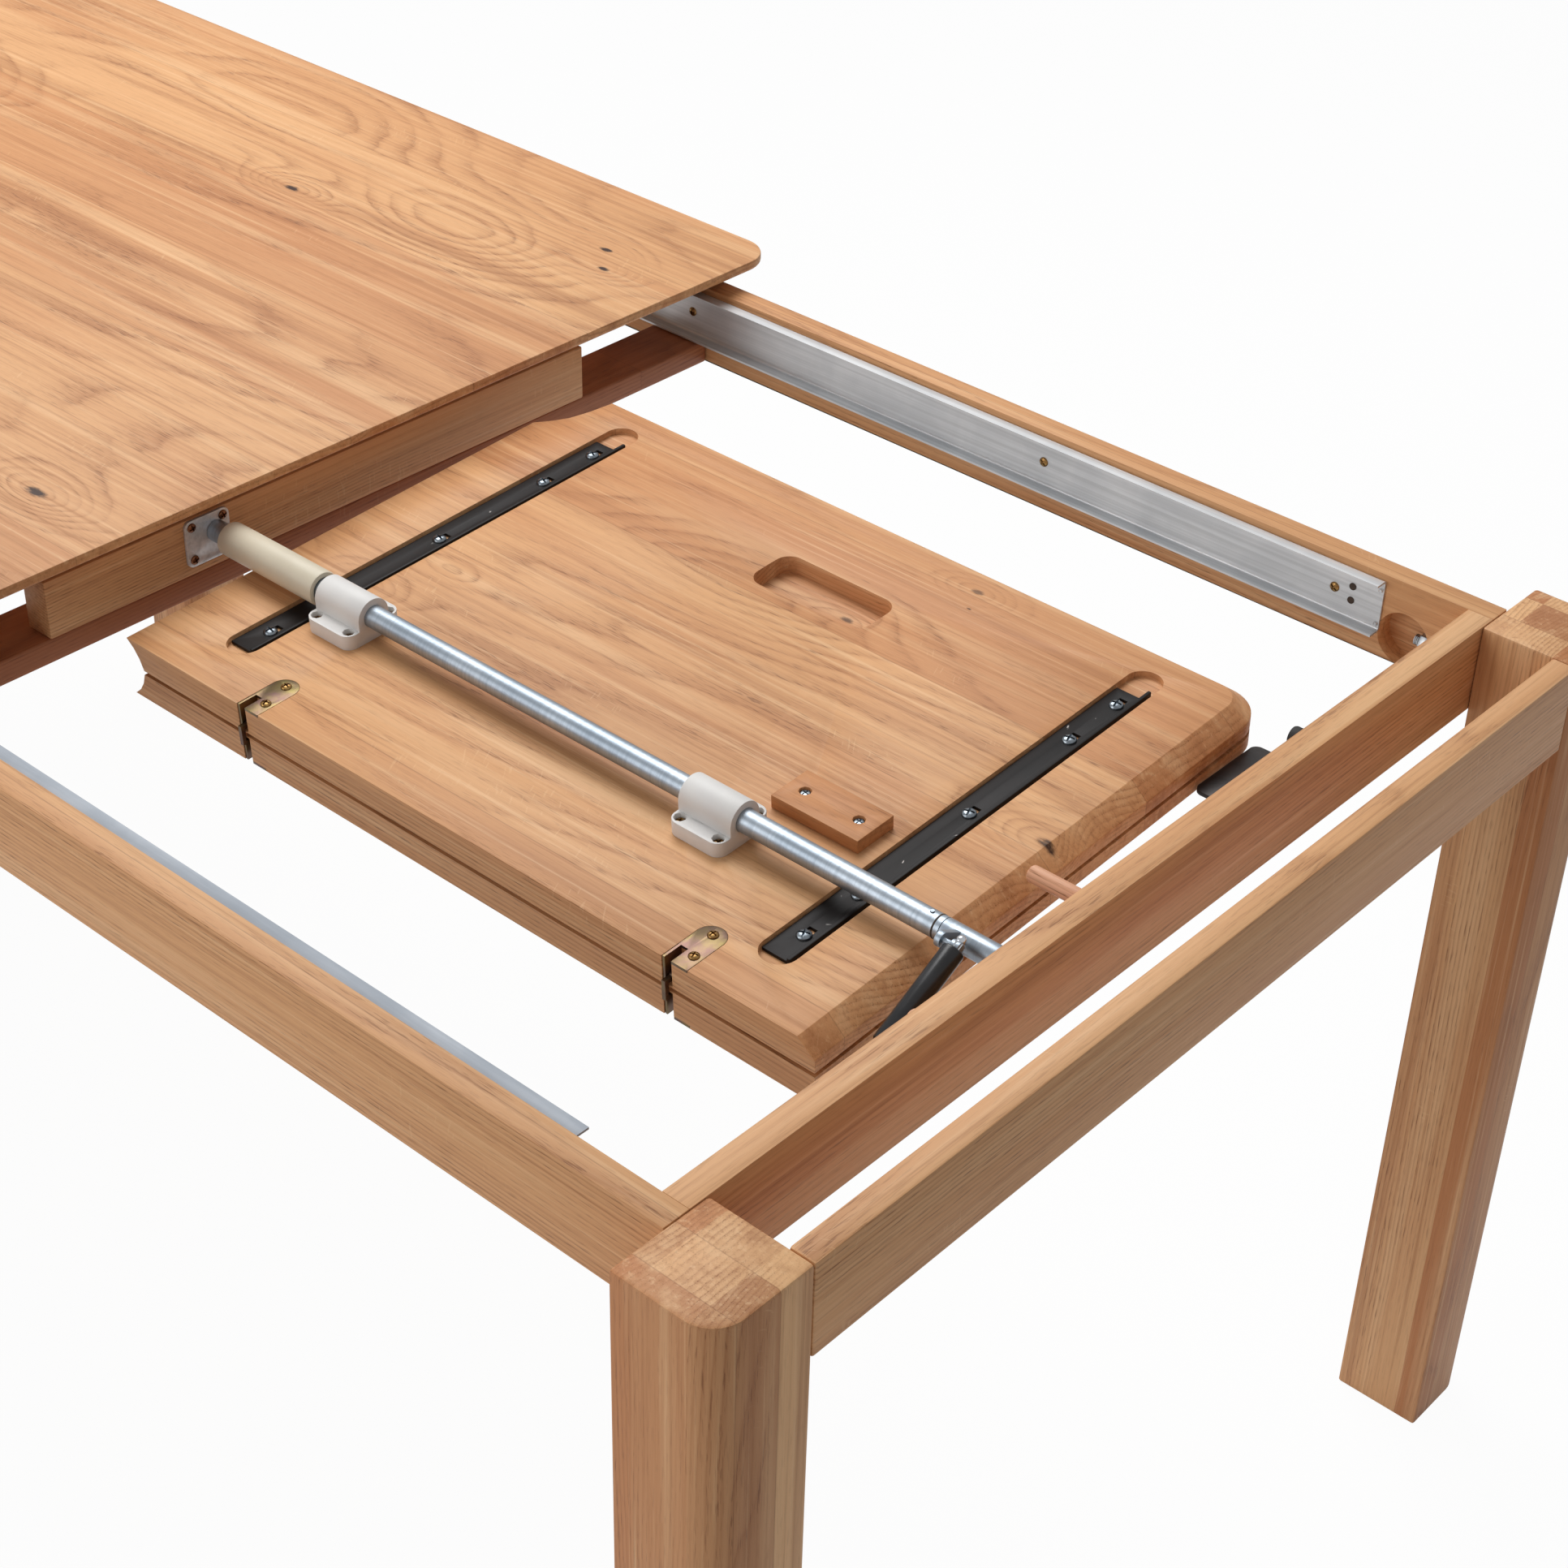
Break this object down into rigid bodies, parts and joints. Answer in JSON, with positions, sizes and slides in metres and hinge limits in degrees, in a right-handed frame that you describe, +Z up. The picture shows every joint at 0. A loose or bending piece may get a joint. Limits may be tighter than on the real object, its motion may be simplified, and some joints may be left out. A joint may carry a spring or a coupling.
{
  "type": "draw leaf table",
  "caption": "Solid oak draw leaf table, drawn open: sliding top on steel ball slides and a folding leaf that turns up on a tube.",
  "frame": {"origin": "on the floor, under the middle of the table as drawn open, halfway between the drawn top's far end and the leaf end's legs", "axes": "+X along the table towards the leaf end, +Y across to the far side, +Z up from the floor"},
  "size_m": [2.377, 0.9, 0.7435],
  "materials": {
    "oak_top": "satin",
    "oak_leaf": "satin",
    "oak_leg": "satin",
    "oak_apron": "satin",
    "oak_bar": "satin",
    "oak_dowel": "satin",
    "brown_block": "satin",
    "galvanised": "satin",
    "zinc_tube": "satin",
    "bar_steel": "satin",
    "black_steel": "satin",
    "gas_black": "gloss",
    "gas_rod": "polished",
    "hinge_zinc": "satin",
    "screw_bright": "polished",
    "screw_yellow": "satin",
    "screw_brown": "satin",
    "bolt_steel": "satin",
    "block_grey": "matte",
    "sleeve_beige": "matte",
    "buffer_rubber": "matte"
  },
  "bodies": {
    "frame": {"leg_near_right": "oak_leg", "leg_near_left": "oak_leg", "leg_far_right": "oak_leg", "leg_far_left": "oak_leg", "side_apron_near": "oak_apron", "side_apron_far": "oak_apron", "end_apron_right": "oak_apron", "end_apron_left": "oak_apron", "crossbar_right": "oak_bar", "crossbar_left": "oak_bar", "crossbar_middle": "oak_bar", "pivot_rail": "oak_bar", "slide_outer_near": "galvanised", "slide_outer_far": "galvanised", "rail_screws": "screw_bright", "leg_bolts": "bolt_steel", "tube_flange": "galvanised", "flange_screws": "screw_brown", "end_pin": "zinc_tube", "stop_dowel_near": "oak_dowel", "stop_dowel_far": "oak_dowel", "rest_plate": "black_steel", "rubber_buffer": "buffer_rubber", "gas_bracket": "black_steel", "fitting_screws": "screw_bright"},
    "top": {"tabletop": "oak_top", "runner_batten_near": "oak_apron", "runner_batten_far": "oak_apron", "slide_inner_near": "galvanised", "slide_inner_far": "galvanised", "batten_screws": "screw_bright"},
    "ball_cages": {"ball_cage_near": "galvanised", "ball_cage_far": "galvanised"},
    "leaf_a": {"leaf_half_a": "oak_leaf", "angle_bar_a_left": "bar_steel", "angle_bar_a_right": "bar_steel", "bar_screws_a": "screw_bright", "tube_block_left": "block_grey", "tube_block_right": "block_grey", "block_screws": "screw_yellow", "stop_block": "brown_block", "stop_screws": "screw_bright", "hinge_plate_a_left": "hinge_zinc", "hinge_plate_a_right": "hinge_zinc", "hinge_screws_a": "screw_yellow", "pivot_tube": "zinc_tube", "tube_end": "zinc_tube", "tube_rivet": "zinc_tube"},
    "hinge_links": {"hinge_link_left": "hinge_zinc", "hinge_link_right": "hinge_zinc"},
    "leaf_b": {"leaf_half_b": "oak_leaf", "angle_bar_b_left": "bar_steel", "angle_bar_b_right": "bar_steel", "bar_screws_b": "screw_bright", "hinge_plate_b_left": "hinge_zinc", "hinge_plate_b_right": "hinge_zinc", "hinge_screws_b": "screw_yellow"},
    "sleeve": {"tube_sleeve": "sleeve_beige"},
    "gas_cylinder_body": {"gas_cylinder": "gas_black"},
    "gas_rod_body": {"gas_rod": "gas_rod"}
  },
  "joints": [
    {"name": "top_slide", "type": "slide", "parent": "frame", "child": "top", "axis": [-1, 0, 0], "range_m": [-0.777, 0]},
    {"name": "cage_slide", "type": "slide", "parent": "frame", "child": "ball_cages", "axis": [-1, 0, 0], "range_m": [-0.3885, 0]},
    {"name": "leaf_swing", "type": "hinge", "parent": "frame", "child": "leaf_a", "pos_m": [0.9, -0.11, 0.705], "axis": [1, 0, 0], "range_deg": [0, 176.7]},
    {"name": "link_hinge", "type": "hinge", "parent": "leaf_a", "child": "hinge_links", "pos_m": [0.74, -0.21187, 0.66507], "axis": [-1, 0, 0], "range_deg": [0, 90]},
    {"name": "leaf_b_hinge", "type": "hinge", "parent": "hinge_links", "child": "leaf_b", "pos_m": [0.74, -0.21118, 0.65309], "axis": [-1, 0, 0], "range_deg": [0, 90]},
    {"name": "sleeve_slide", "type": "slide", "parent": "leaf_a", "child": "sleeve", "axis": [1, 0, 0], "range_m": [-0.012, 0.005]},
    {"name": "gas_swing", "type": "hinge", "parent": "leaf_a", "child": "gas_cylinder_body", "pos_m": [1.0745, -0.1288, 0.71542], "axis": [1, 0, 0], "range_deg": [-189.09, 0]},
    {"name": "gas_stroke", "type": "slide", "parent": "gas_cylinder_body", "child": "gas_rod_body", "axis": [0, -0.8988, -0.4384], "range_m": [0, 0.02762]}
  ],
  "couplings": [
    {"joint": "cage_slide", "follows": "top_slide", "ratio": 0.5},
    {"joint": "gas_swing", "follows": "leaf_swing", "ratio": -1.07},
    {"joint": "gas_stroke", "follows": "leaf_swing", "m_per_rad": 0.008924}
  ]
}
